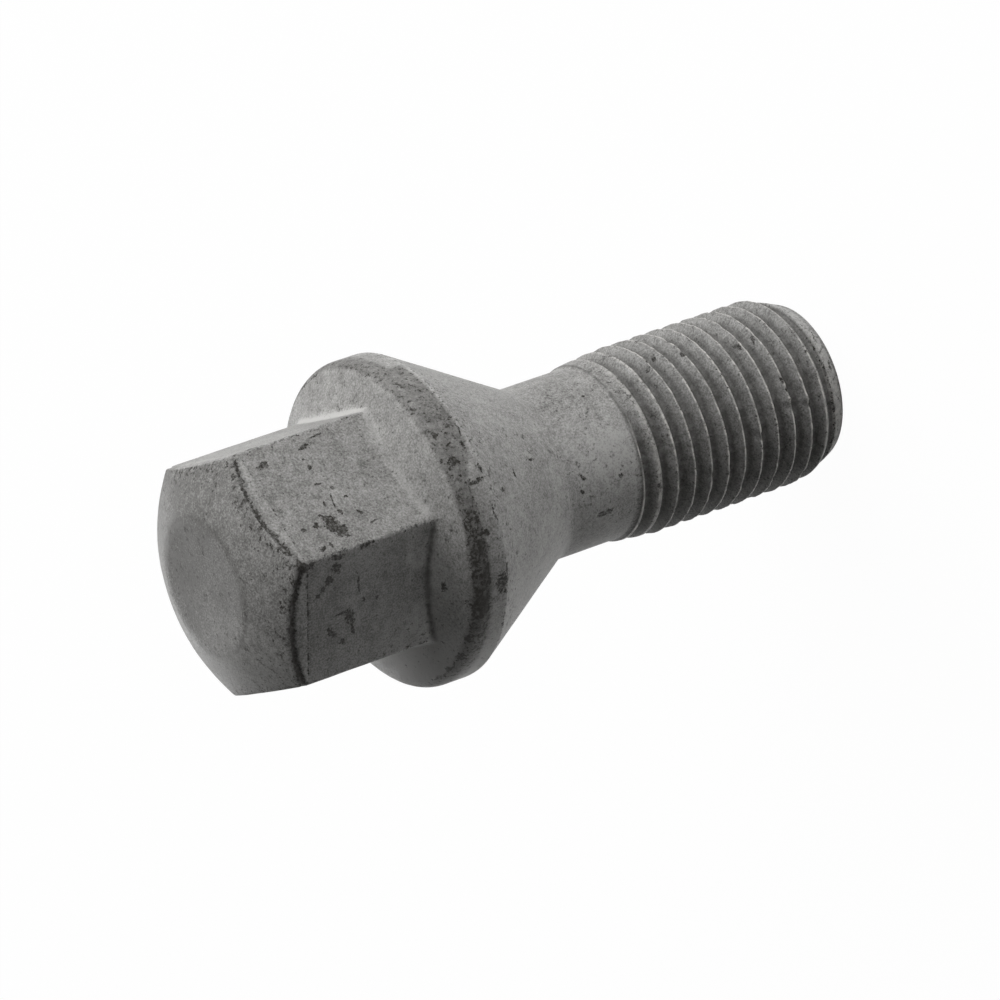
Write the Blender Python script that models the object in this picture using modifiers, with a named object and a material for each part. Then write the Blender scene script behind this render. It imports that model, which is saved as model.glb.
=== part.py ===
"""Wheel bolt with a domed hexagon head, a fixed collar with a conical seat, and a rolled thread.

The bolt is forged in one piece, so it is one object. Units are metres. Z is the bolt's axis, up
towards the head, and the origin is the middle of the flat thread tip, on which the bolt stands.
Two of the head's flats face along Y, and two of its corners lie along X.
"""
import math

import bmesh
import bpy
from mathutils import Matrix

MM = 0.001

# Thread
THREAD_DIAMETER = 13.9 * MM
THREAD_PITCH = 1.5 * MM
THREAD_DEPTH = 0.82 * MM
ROOT_WIDTH = 0.3 * MM
FLANK_ANGLE = math.radians(30)
# From the tip to where the shank starts to flare
THREAD_LENGTH = 18.95 * MM
FLARE_LENGTH = 0.45 * MM
SHOULDER_DIAMETER = 13.25 * MM
# Length over which the crests rise from the shoulder to the full diameter
CREST_RISE_LENGTH = 2.9 * MM
# Length over which the groove rises out of the thread, up to the flare
GROOVE_FADE_LENGTH = 1.0 * MM
# Height of the groove's middle above the tip, where it starts on the X side
GROOVE_START = 0.32 * MM
TIP_DIAMETER = 11.75 * MM
TIP_CHAMFER_LENGTH = 2.6 * MM

# Shank and conical seat
SHANK_DIAMETER = 12.85 * MM
# From the tip to where the seat cone would meet the shank
SHANK_LENGTH = 24.61 * MM
SEAT_CONE_ANGLE = math.radians(60)
SEAT_BLEND_RADIUS = 2.1 * MM

# Collar
COLLAR_DIAMETER = 24.15 * MM
RIM_WIDTH = 1.8 * MM
RIM_FRONT_RADIUS = 0.4 * MM
RIM_BACK_RADIUS = 1.2 * MM
COLLAR_BACK_ANGLE = math.radians(15)
HEAD_ROOT_RADIUS = 8.0 * MM
HEAD_ROOT_STEEPEST = math.radians(78)

# Hexagon head
ACROSS_FLATS = 16.85 * MM
CORNER_RADIUS = 0.35 * MM
# From the back edge of the rim to the flat end of the head
HEAD_HEIGHT = 15.5 * MM
DOME_RADIUS = 16.4 * MM
END_FLAT_DIAMETER = 10.0 * MM
LEAD_IN_DEPTH = 3.0 * MM
LEAD_IN_ANGLE = math.radians(6)

# How finely round forms are divided
TURN_STEPS = 60
ARC_STEP = math.radians(7.5)
CORNER_STEPS = 2
# How far one form reaches into another, or a cutter past the surface that it cuts
OVERLAP = 0.8 * MM
CUTTER_RISE = 0.15 * MM
# Points closer than this, on the axis or where the forms cross, are merged
MERGE_DISTANCE = 0.004 * MM
# Edges that turn by more than this are shaded sharp
SHARP_ANGLE = math.radians(25)

SIDES = 6
FULL_TURN = 2 * math.pi


def thread_radius():
    return THREAD_DIAMETER / 2


def shank_radius():
    return SHANK_DIAMETER / 2


def collar_radius():
    return COLLAR_DIAMETER / 2


def corner_distance():
    """Distance from the axis to the hexagon's corners, before they are rounded."""
    return ACROSS_FLATS / 2 / math.cos(math.pi / SIDES)


def rim_front_height():
    """Height at which the rim's straight side would meet the seat cone."""
    seat_rise = (collar_radius() - shank_radius()) / math.tan(SEAT_CONE_ANGLE / 2)
    return SHANK_LENGTH + seat_rise


def rim_back_height():
    return rim_front_height() + RIM_WIDTH


def head_end_height():
    return rim_back_height() + HEAD_HEIGHT


def arc(centre, radius, start, end):
    """Points (distance from the axis, height) on an arc, from angle start to angle end."""
    steps = max(1, math.ceil(abs(end - start) / ARC_STEP))
    points = []
    for step in range(steps + 1):
        angle = start + (end - start) * step / steps
        points.append((centre[0] + radius * math.cos(angle), centre[1] + radius * math.sin(angle)))
    return points


def collar_back_profile():
    """Hollow curve from under the hexagon out to the rim, then the rim's rounded back edge."""
    rim_centre = (collar_radius() - RIM_BACK_RADIUS, rim_back_height())
    edge = arc(rim_centre, RIM_BACK_RADIUS, math.pi / 2 - COLLAR_BACK_ANGLE, 0)
    outer_end = edge[0]
    centre = (
        outer_end[0] + HEAD_ROOT_RADIUS * math.sin(COLLAR_BACK_ANGLE),
        outer_end[1] + HEAD_ROOT_RADIUS * math.cos(COLLAR_BACK_ANGLE),
    )
    reach = centre[0] - (ACROSS_FLATS / 2 - OVERLAP)
    steepest = min(HEAD_ROOT_STEEPEST, math.asin(min(1, reach / HEAD_ROOT_RADIUS)))
    hollow = arc(centre, HEAD_ROOT_RADIUS, -math.pi / 2 - steepest, -math.pi / 2 - COLLAR_BACK_ANGLE)
    return [(0, hollow[0][1])] + hollow + edge[1:]


def seat_profile():
    """Front edge of the rim, the seat cone, and the blend into the shank."""
    half = SEAT_CONE_ANGLE / 2
    edge_drop = RIM_FRONT_RADIUS * math.tan(half / 2)
    edge_centre = (collar_radius() - RIM_FRONT_RADIUS, rim_front_height() + edge_drop)
    blend_drop = SEAT_BLEND_RADIUS * math.tan(half / 2)
    blend_centre = (shank_radius() + SEAT_BLEND_RADIUS, SHANK_LENGTH - blend_drop)
    edge = arc(edge_centre, RIM_FRONT_RADIUS, 0, -half)
    blend = arc(blend_centre, SEAT_BLEND_RADIUS, math.pi - half, math.pi)
    return edge + blend


def thread_blank_profile():
    """Shank, flare to the shoulder, rise to the thread's full diameter, chamfer and flat tip."""
    shoulder = THREAD_LENGTH - FLARE_LENGTH
    return [
        (shank_radius(), THREAD_LENGTH),
        (SHOULDER_DIAMETER / 2, shoulder),
        (thread_radius(), shoulder - CREST_RISE_LENGTH),
        (thread_radius(), TIP_CHAMFER_LENGTH),
        (TIP_DIAMETER / 2, 0),
        (0, 0),
    ]


def dome_profile():
    """Flat end, spherical dome, and a straight side clear of the hexagon's corners."""
    end_radius = END_FLAT_DIAMETER / 2
    side_radius = corner_distance() + OVERLAP
    start = math.acos(end_radius / DOME_RADIUS)
    end = math.acos(side_radius / DOME_RADIUS)
    centre = (0, head_end_height() - DOME_RADIUS * math.sin(start))
    floor = rim_front_height() - OVERLAP
    dome = arc(centre, DOME_RADIUS, start, end)
    return [(0, head_end_height())] + dome + [(side_radius, floor), (0, floor)]


def turned_object(name, profile, collection):
    """An object whose profile, listed from top to bottom, is turned about Z."""
    mesh = bpy.data.meshes.new(name)
    bm = bmesh.new()
    points = [bm.verts.new((radius, 0, height)) for radius, height in profile]
    for upper, lower in zip(points, points[1:]):
        bm.edges.new((upper, lower))
    bm.to_mesh(mesh)
    bm.free()
    turned = bpy.data.objects.new(name, mesh)
    collection.objects.link(turned)
    screw = turned.modifiers.new("Turn", "SCREW")
    screw.axis = "Z"
    screw.angle = FULL_TURN
    screw.steps = TURN_STEPS
    screw.render_steps = TURN_STEPS
    screw.use_merge_vertices = True
    screw.merge_threshold = MERGE_DISTANCE
    screw.use_smooth_shade = True
    return turned


def hexagon_bar(collection):
    """Six-sided bar with rounded corners, whose flats lean in a little towards the end."""
    foot = rim_front_height()
    lead_in = head_end_height() - LEAD_IN_DEPTH
    lean_height = LEAD_IN_DEPTH + OVERLAP
    bm = bmesh.new()
    bmesh.ops.create_cone(
        bm,
        cap_ends=True,
        segments=SIDES,
        radius1=corner_distance(),
        radius2=corner_distance(),
        depth=lead_in - foot,
    )
    bmesh.ops.rotate(bm, verts=bm.verts, matrix=Matrix.Rotation(math.pi / SIDES, 3, "Z"))
    bmesh.ops.translate(bm, verts=bm.verts, vec=(0, 0, (lead_in + foot) / 2))
    corners = [edge for edge in bm.edges if abs(edge.verts[0].co.z - edge.verts[1].co.z) > OVERLAP]
    bmesh.ops.bevel(
        bm,
        geom=corners,
        offset=CORNER_RADIUS * math.tan(math.pi / SIDES),
        segments=CORNER_STEPS,
        profile=0.5,
        affect="EDGES",
        material=-1,
    )
    end_face = max(bm.faces, key=lambda face: face.calc_center_median().z)
    lean = bmesh.ops.extrude_face_region(bm, geom=[end_face])
    lean_points = [item for item in lean["geom"] if isinstance(item, bmesh.types.BMVert)]
    bmesh.ops.delete(bm, geom=[end_face], context="FACES_ONLY")
    narrowing = 1 - lean_height * math.tan(LEAD_IN_ANGLE) / (ACROSS_FLATS / 2)
    bmesh.ops.scale(bm, verts=lean_points, vec=(narrowing, narrowing, 1))
    bmesh.ops.translate(bm, verts=lean_points, vec=(0, 0, lean_height))
    mesh = bpy.data.meshes.new("hexagon_bar")
    bm.to_mesh(mesh)
    bm.free()
    bar = bpy.data.objects.new("hexagon_bar", mesh)
    collection.objects.link(bar)
    return bar


def groove_lift(middle):
    """How far the thread groove has risen where its middle is at a height, as it fades out."""
    start = THREAD_LENGTH - GROOVE_FADE_LENGTH
    rise = min(1, max(0, (middle - start) / GROOVE_FADE_LENGTH))
    return (THREAD_DEPTH + CUTTER_RISE) * rise


def thread_groove(collection):
    """Right-hand helical cutter with the section of the groove between two crests."""
    root = thread_radius() - THREAD_DEPTH
    mouth = thread_radius() + CUTTER_RISE
    root_half = ROOT_WIDTH / 2
    mouth_half = root_half + (mouth - root) * math.tan(FLANK_ANGLE)
    turns = math.ceil(THREAD_LENGTH / THREAD_PITCH) + 1
    middle = GROOVE_START - THREAD_PITCH
    section = [(root, -root_half), (mouth, -mouth_half), (mouth, mouth_half), (root, root_half)]
    bm = bmesh.new()
    height_in_section = bm.verts.layers.float.new("height_in_section")
    points = []
    for radius, height in section:
        point = bm.verts.new((radius, 0, middle + height))
        point[height_in_section] = height
        points.append(point)
    bm.faces.new(points)
    bmesh.ops.spin(
        bm,
        geom=bm.verts[:] + bm.edges[:] + bm.faces[:],
        cent=(0, 0, 0),
        axis=(0, 0, 1),
        dvec=(0, 0, THREAD_PITCH / TURN_STEPS),
        angle=FULL_TURN * turns,
        steps=TURN_STEPS * turns,
    )
    for point in bm.verts:
        distance = math.hypot(point.co.x, point.co.y)
        lift = groove_lift(point.co.z - point[height_in_section])
        scale = 1 + lift / distance
        point.co.x *= scale
        point.co.y *= scale
    bmesh.ops.holes_fill(bm, edges=bm.edges, sides=0)
    bmesh.ops.recalc_face_normals(bm, faces=bm.faces)
    mesh = bpy.data.meshes.new("thread_groove")
    bm.to_mesh(mesh)
    bm.free()
    groove = bpy.data.objects.new("thread_groove", mesh)
    collection.objects.link(groove)
    return groove


def add_boolean(target, other, operation):
    """Joins, cuts or clips the target with a guide solid, which is hidden from renders."""
    boolean = target.modifiers.new(operation.title(), "BOOLEAN")
    boolean.operation = operation
    boolean.object = other
    boolean.solver = "EXACT"
    other.hide_render = True
    other.display_type = "WIRE"


def coated_steel():
    """Matt grey zinc flake coating."""
    material = bpy.data.materials.new("zinc_flake_coating")
    material.use_nodes = True
    shader = material.node_tree.nodes["Principled BSDF"]
    shader.inputs["Base Color"].default_value = (0.2, 0.2, 0.2, 1)
    shader.inputs["Metallic"].default_value = 0.6
    shader.inputs["Roughness"].default_value = 0.55
    material.diffuse_color = (0.2, 0.2, 0.2, 1)
    return material


def make_collection(name):
    collection = bpy.data.collections.new(name)
    bpy.context.scene.collection.children.link(collection)
    return collection


def merge_close_points(mesh):
    """Removes the slivers that the Booleans leave along the lines where the forms cross."""
    bm = bmesh.new()
    bm.from_mesh(mesh)
    bmesh.ops.triangulate(bm, faces=bm.faces)
    bmesh.ops.remove_doubles(bm, verts=bm.verts, dist=MERGE_DISTANCE)
    bmesh.ops.dissolve_degenerate(bm, edges=bm.edges, dist=MERGE_DISTANCE)
    bm.to_mesh(mesh)
    bm.free()


def finish_solid(bolt):
    """Keeps the joined shape as the object's own mesh, smooth apart from its real edges."""
    evaluated = bolt.evaluated_get(bpy.context.evaluated_depsgraph_get())
    solid = bpy.data.meshes.new_from_object(evaluated)
    bolt.modifiers.clear()
    bolt.data = solid
    merge_close_points(solid)
    solid.name = bolt.name
    solid.materials.clear()
    solid.materials.append(coated_steel())
    solid.shade_smooth()
    solid.set_sharp_from_angle(angle=SHARP_ANGLE)


def main():
    for item in list(bpy.data.objects):
        bpy.data.objects.remove(item)
    parts = make_collection("wheel_bolt")
    guides = make_collection("guides")
    profile = collar_back_profile() + seat_profile() + thread_blank_profile()
    bolt = turned_object("wheel_bolt", profile, parts)
    head = hexagon_bar(guides)
    add_boolean(head, turned_object("dome", dome_profile(), guides), "INTERSECT")
    add_boolean(bolt, thread_groove(guides), "DIFFERENCE")
    add_boolean(bolt, head, "UNION")
    finish_solid(bolt)


main()
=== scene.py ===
"""Wheel bolt: its coated and scuffed surface, its fine form, and the stage that it is shown on.

Lengths are in metres. Z is the bolt's axis, up towards the head, and the origin is the middle of
the flat tip. An angle of 0 is a corner of the hexagon, on the X side.
"""
import math

import bmesh
import bpy
from mathutils import Euler, Matrix, Vector, noise


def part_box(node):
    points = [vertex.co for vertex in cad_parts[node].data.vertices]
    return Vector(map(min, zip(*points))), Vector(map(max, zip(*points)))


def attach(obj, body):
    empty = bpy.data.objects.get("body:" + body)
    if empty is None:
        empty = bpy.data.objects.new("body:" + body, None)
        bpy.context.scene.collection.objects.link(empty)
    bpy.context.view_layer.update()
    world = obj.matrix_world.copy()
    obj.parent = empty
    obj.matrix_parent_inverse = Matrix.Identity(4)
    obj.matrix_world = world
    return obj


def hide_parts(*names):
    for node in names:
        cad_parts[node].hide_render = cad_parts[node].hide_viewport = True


bl_info = {
    "name": "Wheel Bolt",
    "version": (1, 0, 0),
    "blender": (4, 5, 0),
    "location": "View3D > Sidebar > Wheel Bolt",
    "description": "Builds a coated wheel bolt with a rolled thread, and a plain stage for it",
    "category": "Add Mesh",
}

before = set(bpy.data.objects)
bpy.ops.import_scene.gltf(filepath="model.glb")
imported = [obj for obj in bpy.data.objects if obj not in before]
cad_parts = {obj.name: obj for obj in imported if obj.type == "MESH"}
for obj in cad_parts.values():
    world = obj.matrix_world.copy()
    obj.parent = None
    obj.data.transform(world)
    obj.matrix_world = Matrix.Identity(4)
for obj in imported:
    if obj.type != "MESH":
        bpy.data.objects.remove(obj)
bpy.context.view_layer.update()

CAD_NODE = "wheel_bolt"
CAD_LOW, CAD_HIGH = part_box(CAD_NODE)
BODY = "root"

MM = 0.001
FULL_TURN = 2 * math.pi
SIDES = 6
SECTOR = FULL_TURN / SIDES
HALF_SECTOR = SECTOR / 2

# Columns of faces round the bolt, and those of them on each half of a rounded corner
COLUMNS = 192
CORNER_COLUMNS = 2
MERGE_DISTANCE = 0.004 * MM
LAMP_DISTANCE = 0.5
# The floor lies this far below the tip, so that the two don't share one plane
FLOOR_GAP = 0.02 * MM
FLOOR_PAINT = (0.9, 0.9, 0.9, 1)
FLOOR_ROUGHNESS = 0.9
WHITE = (1, 1, 1, 1)


def length_setting(name, description, default):
    return bpy.props.FloatProperty(
        name=name, description=description, default=default, unit="LENGTH", precision=5
    )


def angle_setting(name, description, default):
    return bpy.props.FloatProperty(name=name, description=description, default=default, subtype="ANGLE")


def power_setting(name, description, default):
    return bpy.props.FloatProperty(name=name, description=description, default=default, unit="POWER")


def share_setting(name, description, default):
    """A share from 0 to 1."""
    return bpy.props.FloatProperty(
        name=name, description=description, default=default, subtype="FACTOR", min=0, max=1
    )


def colour_setting(name, description, default):
    return bpy.props.FloatVectorProperty(
        name=name, description=description, default=default, subtype="COLOR", min=0, max=1
    )


class WheelBoltSizes(bpy.types.PropertyGroup):
    """Sizes of the bolt"""

    overall_length: length_setting(
        "Overall length", "From the flat tip to the flat end of the head", CAD_HIGH.z - CAD_LOW.z
    )
    collar_diameter: length_setting(
        "Collar", "Diameter over the rim of the collar", CAD_HIGH.x - CAD_LOW.x
    )
    across_flats: length_setting(
        "Across flats", "Width of the hexagon between two opposite flats", 16.85 * MM
    )
    corner_radius: length_setting("Corner radius", "Rounding of the hexagon's corners", 0.35 * MM)
    head_height: length_setting(
        "Head height", "From the back edge of the rim to the flat end", 15.5 * MM
    )
    dome_radius: length_setting("Dome radius", "Radius of the domed end of the head", 16.4 * MM)
    end_flat_diameter: length_setting(
        "End flat", "Diameter of the flat disc in the middle of the dome", 10.0 * MM
    )
    lead_in_depth: length_setting(
        "Lead-in depth", "Depth below the end at which the flats start to lean in", 3.0 * MM
    )
    lead_in_angle: angle_setting(
        "Lead-in angle", "Lean of the flats above the lead-in line", math.radians(6)
    )
    rim_width: length_setting("Rim width", "Height of the collar's rim", 1.8 * MM)
    rim_front_radius: length_setting(
        "Rim front radius", "Rounding between the rim and the seat cone", 0.4 * MM
    )
    rim_back_radius: length_setting(
        "Rim back radius", "Rounding between the rim and the back of the collar", 1.2 * MM
    )
    collar_back_angle: angle_setting(
        "Collar back angle", "Slope of the collar's back where it meets the rim", math.radians(15)
    )
    head_root_radius: length_setting(
        "Head root radius", "Radius of the hollow curve between the hexagon and the rim", 8.0 * MM
    )
    seat_cone_angle: angle_setting("Seat cone", "Whole angle of the conical seat", math.radians(60))
    seat_blend_radius: length_setting(
        "Seat blend radius", "Rounding between the seat cone and the shank", 2.1 * MM
    )
    shank_diameter: length_setting("Shank", "Diameter of the plain shank", 12.85 * MM)
    thread_diameter: length_setting("Thread", "Diameter over the crests of the thread", 13.9 * MM)
    thread_pitch: length_setting(
        "Pitch", "Distance between two crests of the right-hand thread", 1.5 * MM
    )
    thread_depth: length_setting(
        "Thread depth", "Depth of the groove between two crests", 0.86 * MM
    )
    thread_length: length_setting(
        "Thread length", "From the tip to where the shank starts to flare", 18.95 * MM
    )
    flare_length: length_setting(
        "Flare", "Length over which the shank widens to the shoulder", 0.45 * MM
    )
    shoulder_diameter: length_setting("Shoulder", "Diameter at the end of the flare", 13.25 * MM)
    crest_rise_length: length_setting(
        "Crest rise",
        "Length over which the crests grow from the shoulder to their full diameter",
        2.9 * MM,
    )
    groove_fade_length: length_setting(
        "Run-out", "Length over which the groove rises out of the thread", 0.4 * MM
    )
    groove_start: length_setting(
        "Groove start", "Height of the groove's middle above the tip, on the X side", 0.32 * MM
    )
    tip_diameter: length_setting("Tip", "Diameter of the flat tip", 11.75 * MM)
    tip_chamfer_length: length_setting("Tip chamfer", "Length of the chamfer at the tip", 2.6 * MM)


def mesh_from(bm, name):
    mesh = bpy.data.meshes.new(name)
    bm.to_mesh(mesh)
    bm.free()
    return mesh


def add_object(name, data):
    item = bpy.data.objects.new(name, data)
    bpy.context.scene.collection.objects.link(item)
    return item


def smooth_step(value, low, high):
    """0 below low, 1 above high, and an even S-curve between them."""
    share = min(1, max(0, (value - low) / (high - low)))
    return share * share * (3 - 2 * share)


def curve_through(start, corner, end, share):
    """A point on the curve that rounds a corner between two points (quadratic)."""
    rest = 1 - share
    return tuple(
        rest * rest * a + 2 * rest * share * b + share * share * c
        for a, b, c in zip(start, corner, end)
    )


def rounded_minimum(first, second, reach):
    """The smaller of two values, with the change-over rounded."""
    overlap = max(0, reach - abs(first - second)) / reach
    return min(first, second) - overlap * overlap * reach / 4


class BoltForm:
    """Radii and heights of the bolt's surface, worked out from its sizes."""

    # Half width of the rounding between the flat end and the dome
    END_ROUNDING = 0.55 * MM
    # Reach of the rounded edge between dome and flats, on either side
    LIP_ON_DOME = 0.22 * MM
    LIP_ON_FLAT = 0.1 * MM
    # Groove that the forging die leaves under the dome's edge
    CREASE_WIDTH = 0.55 * MM
    CREASE_DEPTH = 0.15 * MM
    # Fine line where the flats start to lean in
    LINE_HALF_WIDTH = 0.1 * MM
    LINE_DEPTH = 0.04 * MM
    # How strongly groove and line show on each flat, from the one between 0 and 60 degrees on
    CREASE_STRENGTHS = (0.1, 0.7, 0.4, 0.5, 1.0, 0.55)
    ROOT_FILLET = 0.5 * MM
    # Share by which the collar's back follows the hexagon, and where that ends
    HEXAGON_SHARE = 0.1
    HEXAGON_END = 11.3 * MM
    # Share by which its hollow is straightened
    STRAIGHTENED = 0.6
    # Groove section of the thread
    CREST_HALF_WIDTH = 0.08 * MM
    ROOT_ROUNDING = 0.3 * MM
    CREST_ROUNDING = 0.04 * MM
    FLANK_ANGLE = math.radians(30)
    TIP_ROUNDING = 0.18 * MM
    # The lowest groove is torn open towards the tip by this much
    LOWEST_GROOVE = 1.9 * MM
    TORN_WIDTH = 0.06 * MM
    # Small ring inside which the flat tip is closed
    TIP_MIDDLE = 1.0 * MM
    # Heights of the rows from one crest to the next, as shares of the pitch
    HALF_PITCH_ROWS = (0.0, 0.035, 0.053, 0.075, 0.12, 0.2, 0.27, 0.33, 0.39, 0.45)
    THREAD_ROWS = HALF_PITCH_ROWS + (0.5,) + tuple(1 - row for row in reversed(HALF_PITCH_ROWS))

    def __init__(self, sizes):
        self.length = sizes.overall_length
        self.collar_radius = sizes.collar_diameter / 2
        self.flat_distance = sizes.across_flats / 2
        self.corner_radius = sizes.corner_radius
        self.shank_radius = sizes.shank_diameter / 2
        self.rim_back = self.length - sizes.head_height
        self.rim_front = self.rim_back - sizes.rim_width
        self.rim_front_radius = sizes.rim_front_radius
        self.rim_back_radius = sizes.rim_back_radius
        self.place_dome(sizes)
        self.place_collar_back(sizes)
        self.place_seat(sizes)
        self.place_thread(sizes)

    def place_dome(self, sizes):
        self.dome_radius = sizes.dome_radius
        self.end_radius = sizes.end_flat_diameter / 2
        self.dome_centre = self.length - math.sqrt(self.dome_radius**2 - self.end_radius**2)
        self.lead_in = self.length - sizes.lead_in_depth
        self.lead_in_slope = math.tan(sizes.lead_in_angle)

    def place_collar_back(self, sizes):
        slope = sizes.collar_back_angle
        self.rim_edge_start = math.pi / 2 - slope
        self.rim_edge_middle = self.collar_radius - self.rim_back_radius
        self.hollow_end = self.rim_edge_middle + self.rim_back_radius * math.cos(self.rim_edge_start)
        end_height = self.rim_back + self.rim_back_radius * math.sin(self.rim_edge_start)
        self.hollow_radius = sizes.head_root_radius
        self.hollow_x = self.hollow_end + self.hollow_radius * math.sin(slope)
        self.hollow_z = end_height + self.hollow_radius * math.cos(slope)
        self.back_end = end_height
        rise = self.hollow_height(self.flat_distance) - end_height
        self.back_slope = rise / (self.hollow_end - self.flat_distance)

    def place_seat(self, sizes):
        self.half_cone = sizes.seat_cone_angle / 2
        rise = (self.collar_radius - self.shank_radius) / math.tan(self.half_cone)
        seat_foot = self.rim_front - rise
        self.blend_radius = sizes.seat_blend_radius
        self.blend_x = self.shank_radius + self.blend_radius
        self.blend_z = seat_foot - self.blend_radius * math.tan(self.half_cone / 2)
        self.edge_x = self.collar_radius - self.rim_front_radius
        self.edge_z = self.rim_front + self.rim_front_radius * math.tan(self.half_cone / 2)

    def place_thread(self, sizes):
        self.crest_radius = sizes.thread_diameter / 2
        self.pitch = sizes.thread_pitch
        self.depth = sizes.thread_depth
        self.thread_length = sizes.thread_length
        self.shoulder = sizes.thread_length - sizes.flare_length
        self.shoulder_radius = sizes.shoulder_diameter / 2
        self.rise_length = sizes.crest_rise_length
        self.fade_length = sizes.groove_fade_length
        self.groove_start = sizes.groove_start
        self.tip_radius = sizes.tip_diameter / 2
        self.chamfer_length = sizes.tip_chamfer_length
        self.root_meets_flank = self.ROOT_ROUNDING * math.cos(self.FLANK_ANGLE)
        # The thread's rows start on a crest, and end in level rings below the tip and on the shank
        first_crest = self.groove_start + self.pitch / 2
        self.strip_low = first_crest - 2 * self.pitch
        turns = math.ceil((self.thread_length + self.pitch / 2 - self.strip_low) / self.pitch)
        self.strip_high = self.strip_low + turns * self.pitch
        self.strip_turns = turns + 1

    def corner_offset(self, columns):
        """Angle from a corner of the hexagon to the column that many places away."""
        half_sector_columns = COLUMNS // SIDES / 2
        middle = (self.flat_distance - self.corner_radius) / math.cos(HALF_SECTOR)
        turn = HALF_SECTOR * min(1, columns / CORNER_COLUMNS)
        across = self.corner_radius * math.sin(turn)
        rounding = math.atan2(across, middle + self.corner_radius * math.cos(turn))
        beyond = max(0, columns - CORNER_COLUMNS) / (half_sector_columns - CORNER_COLUMNS)
        return rounding + (HALF_SECTOR - rounding) * beyond

    def side_radius(self, height, from_corner):
        """Distance from the axis to the hexagon's side."""
        flat = self.flat_distance - max(0, height - self.lead_in) * self.lead_in_slope
        middle = (flat - self.corner_radius) / math.cos(HALF_SECTOR)
        on_flat = flat / math.cos(HALF_SECTOR - from_corner)
        reach = self.corner_radius**2 - (middle * math.sin(from_corner)) ** 2
        if reach <= 0:
            return on_flat
        on_corner = middle * math.cos(from_corner) + math.sqrt(reach)
        return min(on_flat, on_corner)

    def dome_height(self, radius):
        return self.dome_centre + math.sqrt(self.dome_radius**2 - radius**2)

    def crease(self, from_corner):
        """Radius and height at which the dome would meet the hexagon's side."""
        height = self.lead_in
        for _ in range(6):
            radius = self.side_radius(height, from_corner)
            height = self.dome_height(radius)
        return radius, height

    def crease_strength(self, turn):
        """How strongly the die's marks show at a turn: even on a flat, changing at its corners."""
        position = turn / SECTOR - 0.5
        flat = math.floor(position)
        share = smooth_step(position - flat, 0.42, 0.58)
        this_flat = self.CREASE_STRENGTHS[flat % SIDES]
        next_flat = self.CREASE_STRENGTHS[(flat + 1) % SIDES]
        return this_flat + (next_flat - this_flat) * share

    def hollow_height(self, radius):
        return self.hollow_z - math.sqrt(self.hollow_radius**2 - (self.hollow_x - radius) ** 2)

    def back_height(self, radius, from_corner):
        """Height of the collar's hollow back, which follows the hexagon a little near the head."""
        fade = 1 - smooth_step(radius, self.flat_distance, self.HEXAGON_END)
        wider = math.cos(HALF_SECTOR - from_corner) / math.cos(HALF_SECTOR) - 1
        followed = radius * (1 + self.HEXAGON_SHARE * fade * wider)
        straight = self.back_end + self.back_slope * (self.hollow_end - followed)
        return straight + (self.hollow_height(followed) - straight) * (1 - self.STRAIGHTENED)

    def root(self, from_corner):
        """Radius and height at which the hexagon's side would meet the collar's back."""
        radius = self.side_radius(self.rim_back, from_corner)
        return radius, self.back_height(radius, from_corner)

    def end_disc(self, share, from_corner):
        return (self.end_radius - self.END_ROUNDING) * share, self.length

    def end_edge(self, share, from_corner):
        outer = self.end_radius + self.END_ROUNDING
        start = (self.end_radius - self.END_ROUNDING, self.length)
        end = (outer, self.dome_height(outer))
        return curve_through(start, (self.end_radius, self.length), end, share)

    def dome(self, share, from_corner):
        inner = self.end_radius + self.END_ROUNDING
        outer = self.crease(from_corner)[0] - self.LIP_ON_DOME
        radius = inner + (outer - inner) * share
        return radius, self.dome_height(radius)

    def dome_lip(self, share, from_corner):
        radius, height = self.crease(from_corner)
        inner = radius - self.LIP_ON_DOME
        below = height - self.LIP_ON_FLAT
        start = (inner, self.dome_height(inner))
        end = (self.side_radius(below, from_corner), below)
        return curve_through(start, (radius, height), end, share)

    def crease_groove(self, share, from_corner):
        height = self.crease(from_corner)[1] - self.LIP_ON_FLAT - self.CREASE_WIDTH * share
        return self.side_radius(height, from_corner), height

    def lead_in_strip(self, share, from_corner):
        top = self.crease(from_corner)[1] - self.LIP_ON_FLAT - self.CREASE_WIDTH
        height = top + (self.lead_in + self.LINE_HALF_WIDTH - top) * share
        return self.side_radius(height, from_corner), height

    def lead_in_line(self, share, from_corner):
        height = self.lead_in + self.LINE_HALF_WIDTH * (1 - 2 * share)
        return self.side_radius(height, from_corner), height

    def flat(self, share, from_corner):
        top = self.lead_in - self.LINE_HALF_WIDTH
        foot = self.root(from_corner)[1] + self.ROOT_FILLET
        height = top + (foot - top) * share
        return self.side_radius(height, from_corner), height

    def root_fillet(self, share, from_corner):
        radius, height = self.root(from_corner)
        outer = radius + self.ROOT_FILLET * 0.7
        start = (radius, height + self.ROOT_FILLET)
        end = (outer, self.back_height(outer, from_corner))
        return curve_through(start, (radius, height), end, share)

    def collar_back(self, share, from_corner):
        inner = self.root(from_corner)[0] + self.ROOT_FILLET * 0.7
        radius = inner + (self.hollow_end - inner) * share
        return radius, self.back_height(radius, from_corner)

    def rim_back_edge(self, share, from_corner):
        angle = self.rim_edge_start * (1 - share)
        radius = self.rim_edge_middle + self.rim_back_radius * math.cos(angle)
        return radius, self.rim_back + self.rim_back_radius * math.sin(angle)

    def rim(self, share, from_corner):
        return self.collar_radius, self.rim_back + (self.edge_z - self.rim_back) * share

    def rim_front_edge(self, share, from_corner):
        angle = -self.half_cone * share
        radius = self.edge_x + self.rim_front_radius * math.cos(angle)
        return radius, self.edge_z + self.rim_front_radius * math.sin(angle)

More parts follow.
